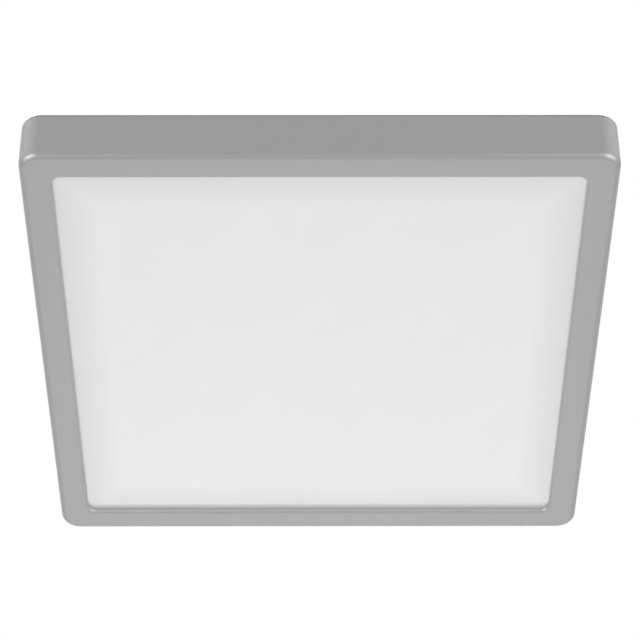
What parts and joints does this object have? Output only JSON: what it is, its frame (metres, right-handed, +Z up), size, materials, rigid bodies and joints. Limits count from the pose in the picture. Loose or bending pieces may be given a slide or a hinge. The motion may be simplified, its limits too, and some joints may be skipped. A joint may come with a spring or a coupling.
{
  "type": "led ceiling light",
  "caption": "Square surface-mounted LED ceiling light: silver frame with a flat lip round an opal diffuser, LED boards, driver and terminal block inside, snapped onto a ceiling bracket.",
  "frame": {"origin": "middle of the ceiling bracket's upper face, on the ceiling, between its two screw slots", "axes": "+Z up into the ceiling, so the light shines towards -Z; X along the bracket; +Y towards the side that is farthest from the camera in the picture"},
  "size_m": [0.285, 0.285, 0.028],
  "materials": {
    "frame_silver": "satin",
    "opal": "satin",
    "reflector_white": "satin",
    "pan_coat": "satin",
    "galvanised": "satin",
    "spring_steel": "satin",
    "zinc": "satin",
    "led_board": "satin",
    "led": "gloss",
    "plug_white": "satin",
    "driver_case": "satin",
    "circuit_board": "satin",
    "ferrite": "matte",
    "winding_tape": "satin",
    "capacitor_sleeve": "gloss",
    "film_box": "gloss",
    "black_resin": "matte",
    "fuse_ceramic": "satin",
    "terminal_grey": "satin",
    "terminal_green": "satin",
    "button_orange": "satin",
    "clamp_copper": "satin",
    "tinned_copper": "satin",
    "lead_brown": "satin",
    "lead_blue": "satin",
    "lead_green_yellow": "satin",
    "lead_red": "satin",
    "lead_black": "satin",
    "grommet_rubber": "matte"
  },
  "bodies": {
    "bracket": {"ceiling_bracket": "galvanised"},
    "lamp": {"board_bridges": "plug_white", "board_screws": "zinc", "choke": "ferrite", "clip_rivets": "zinc", "diffuser": "opal", "driver_base": "driver_case", "driver_input_plug": "plug_white", "driver_lid": "driver_case", "driver_output_plug": "plug_white", "driver_pcb": "circuit_board", "driver_screws": "zinc", "earth_lead": "lead_green_yellow", "earth_lug": "tinned_copper", "earth_screw": "zinc", "electrolytic_capacitors": "capacitor_sleeve", "film_capacitor": "film_box", "frame": "frame_silver", "fuse": "fuse_ceramic", "lead_grommet": "grommet_rubber", "led_board_front_left": "led_board", "led_board_front_right": "led_board", "led_board_rear_left": "led_board", "led_board_rear_right": "led_board", "led_connector": "plug_white", "led_lead_negative": "lead_black", "led_lead_positive": "lead_red", "leds_front_left": "led", "leds_front_right": "led", "leds_rear_left": "led", "leds_rear_right": "led", "live_lead": "lead_brown", "neutral_lead": "lead_blue", "pan_screws": "zinc", "rear_pan": "pan_coat", "rectifier": "black_resin", "reflector_ring": "reflector_white", "spring_clip_left": "spring_steel", "spring_clip_right": "spring_steel", "terminal_base": "terminal_grey", "terminal_clamps": "clamp_copper", "terminal_earth": "terminal_green", "terminal_live": "terminal_grey", "terminal_neutral": "terminal_grey", "terminal_screws": "zinc", "transformer_core": "ferrite", "transformer_winding": "winding_tape"},
    "button_earth": {"release_button_earth": "button_orange"},
    "button_neutral": {"release_button_neutral": "button_orange"},
    "button_live": {"release_button_live": "button_orange"}
  },
  "joints": [
    {"name": "lamp_pull_off", "type": "slide", "parent": "bracket", "child": "lamp", "axis": [0, 0, -1], "range_m": [0, 0.06], "deforming": ["spring_clip_left", "spring_clip_right"]},
    {"name": "earth_button_press", "type": "slide", "parent": "lamp", "child": "button_earth", "axis": [0, 0, -1], "range_m": [0, 0.0012], "stiffness_N_per_m": 800, "springref_m": -0.0005},
    {"name": "neutral_button_press", "type": "slide", "parent": "lamp", "child": "button_neutral", "axis": [0, 0, -1], "range_m": [0, 0.0012], "stiffness_N_per_m": 800, "springref_m": -0.0005},
    {"name": "live_button_press", "type": "slide", "parent": "lamp", "child": "button_live", "axis": [0, 0, -1], "range_m": [0, 0.0012], "stiffness_N_per_m": 800, "springref_m": -0.0005}
  ]
}
